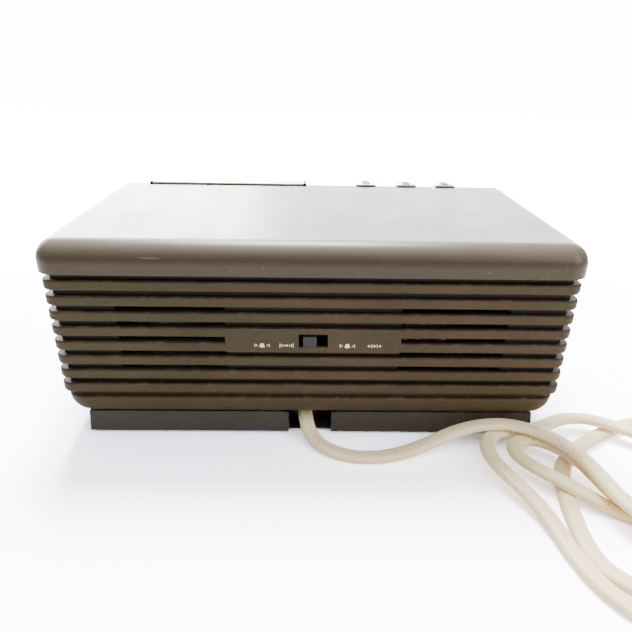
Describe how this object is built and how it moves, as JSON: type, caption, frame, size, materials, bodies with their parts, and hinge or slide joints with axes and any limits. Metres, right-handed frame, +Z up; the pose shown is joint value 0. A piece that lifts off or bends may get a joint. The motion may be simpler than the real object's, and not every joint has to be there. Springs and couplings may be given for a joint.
{
  "type": "clock radio",
  "caption": "Mains alarm clock radio: ribbed plastic case under a smooth cover, snooze bar and keys on a front deck, display window, dial, back switch and a flat power cord.",
  "frame": {"origin": "on the table under the middle of the case, knobs included", "axes": "+Z up, -Y out of the display, +X to the right seen from the front"},
  "size_m": [0.4419, 0.2603, 0.105],
  "materials": {
    "cover_plastic": "satin, fine mottled grain",
    "case_plastic": "satin moulded",
    "pan_plastic": "matt moulded",
    "bezel_plastic": "satin moulded",
    "smoked_window": "smoked acrylic",
    "grille_plastic": "matt",
    "foot_rubber": "matt",
    "screw_steel": "zinc plated",
    "key_chrome": "plated plastic",
    "spring_steel": "bright",
    "circuit_board": "paper laminate",
    "switch_black": "moulded",
    "knob_plastic": "moulded",
    "bush_metal": "plated",
    "dial_print": "printed",
    "rail_steel": "bright",
    "pointer_red": "moulded",
    "pulley_nylon": "moulded",
    "string_fabric": "braided",
    "can_sleeve": "sleeved",
    "if_metal": "drawn",
    "gang_plastic": "moulded",
    "heatsink_metal": "anodised",
    "core_steel": "laminated, lacquered",
    "winding_tape": "taped",
    "speaker_steel": "zinc",
    "cone_paper": "pressed paper",
    "magnet_ferrite": "sintered",
    "display_plastic": "moulded",
    "ferrite": "sintered",
    "litz_wire": "wound",
    "holder_plastic": "moulded",
    "slider_black": "moulded",
    "relief_rubber": "matt",
    "cord_vinyl": "aged ivory vinyl",
    "blade_brass": "bright"
  },
  "bodies": {
    "case": {"top_cover": "cover_plastic", "lower_shell": "case_plastic", "base_pan": "pan_plastic", "front_bezel": "bezel_plastic", "display_window": "smoked_window", "speaker_grille": "grille_plastic", "foot_1": "foot_rubber", "foot_2": "foot_rubber", "foot_3": "foot_rubber", "foot_4": "foot_rubber", "case_screws": "screw_steel", "snooze_spring": "spring_steel", "hour_spring": "spring_steel", "minute_spring": "spring_steel", "alarm_spring": "spring_steel", "key_board": "circuit_board", "tact_switches": "switch_black", "volume_pot": "bush_metal", "tuning_bush": "bush_metal", "dial_plate": "dial_print", "pointer_rail": "rail_steel", "dial_string": "string_fabric", "main_board": "circuit_board", "electrolytics": "can_sleeve", "if_cans": "if_metal", "tuning_capacitor": "gang_plastic", "audio_chip": "heatsink_metal", "transformer_core": "core_steel", "transformer_winding": "winding_tape", "speaker_frame": "speaker_steel", "speaker_cone": "cone_paper", "speaker_magnet": "magnet_ferrite", "clock_board": "circuit_board", "led_display": "display_plastic", "ferrite_rod": "ferrite", "antenna_coil": "litz_wire", "rod_holder": "holder_plastic", "alarm_switch_body": "bush_metal", "strain_relief": "relief_rubber", "power_cord": "cord_vinyl", "cord_tail": "cord_vinyl", "cord_coil": "cord_vinyl", "plug_body": "cord_vinyl", "plug_blades": "blade_brass"},
    "snooze": {"snooze_bar": "key_chrome"},
    "hour_key": {"hour_button": "key_chrome"},
    "minute_key": {"minute_button": "key_chrome"},
    "alarm_key": {"alarm_button": "key_chrome"},
    "volume": {"volume_knob": "knob_plastic"},
    "tuning": {"tuning_knob": "knob_plastic"},
    "pointer": {"dial_pointer": "pointer_red"},
    "pulley_a": {"pulley_left": "pulley_nylon"},
    "pulley_b": {"pulley_right": "pulley_nylon"},
    "band": {"band_lever": "slider_black"},
    "mode": {"mode_lever": "slider_black"},
    "alarm_slider": {"alarm_switch_knob": "slider_black"}
  },
  "joints": [
    {"name": "snooze_press", "type": "slide", "parent": "case", "child": "snooze", "axis": [0, 0, -1], "range_m": [0, 0.002], "stiffness_N_per_m": 500, "springref_m": -0.001, "deforming": ["snooze_spring"]},
    {"name": "hour_press", "type": "slide", "parent": "case", "child": "hour_key", "axis": [0, 0, -1], "range_m": [0, 0.002], "stiffness_N_per_m": 350, "springref_m": -0.001, "deforming": ["hour_spring"]},
    {"name": "minute_press", "type": "slide", "parent": "case", "child": "minute_key", "axis": [0, 0, -1], "range_m": [0, 0.002], "stiffness_N_per_m": 350, "springref_m": -0.001, "deforming": ["minute_spring"]},
    {"name": "alarm_press", "type": "slide", "parent": "case", "child": "alarm_key", "axis": [0, 0, -1], "range_m": [0, 0.002], "stiffness_N_per_m": 350, "springref_m": -0.001, "deforming": ["alarm_spring"]},
    {"name": "volume_turn", "type": "hinge", "parent": "case", "child": "volume", "pos_m": [0.096, -0.07, 0.0266], "axis": [0, 1, 0], "range_deg": [-140, 140]},
    {"name": "tuning_turn", "type": "hinge", "parent": "case", "child": "tuning", "pos_m": [0.06, -0.07, 0.0266], "axis": [0, 1, 0], "range_deg": [-388, 388]},
    {"name": "pointer_travel", "type": "slide", "parent": "case", "child": "pointer", "axis": [1, 0, 0], "range_m": [-0.058, 0.058]},
    {"name": "pulley_left_turn", "type": "hinge", "parent": "case", "child": "pulley_a", "pos_m": [-0.1105, -0.047, 0.0455], "axis": [0, 1, 0], "range_deg": [-705, 705]},
    {"name": "pulley_right_turn", "type": "hinge", "parent": "case", "child": "pulley_b", "pos_m": [0.0425, -0.047, 0.0455], "axis": [0, 1, 0], "range_deg": [-705, 705]},
    {"name": "band_slide", "type": "slide", "parent": "case", "child": "band", "axis": [1, 0, 0], "range_m": [0, 0.006]},
    {"name": "mode_slide", "type": "slide", "parent": "case", "child": "mode", "axis": [1, 0, 0], "range_m": [0, 0.006]},
    {"name": "alarm_mode_slide", "type": "slide", "parent": "case", "child": "alarm_slider", "axis": [-1, 0, 0], "range_m": [0, 0.0032]}
  ],
  "couplings": [
    {"joint": "pointer_travel", "follows": "tuning_turn", "m_per_rad": 0.00855},
    {"joint": "pulley_left_turn", "follows": "tuning_turn", "ratio": 1.8},
    {"joint": "pulley_right_turn", "follows": "tuning_turn", "ratio": 1.8}
  ]
}
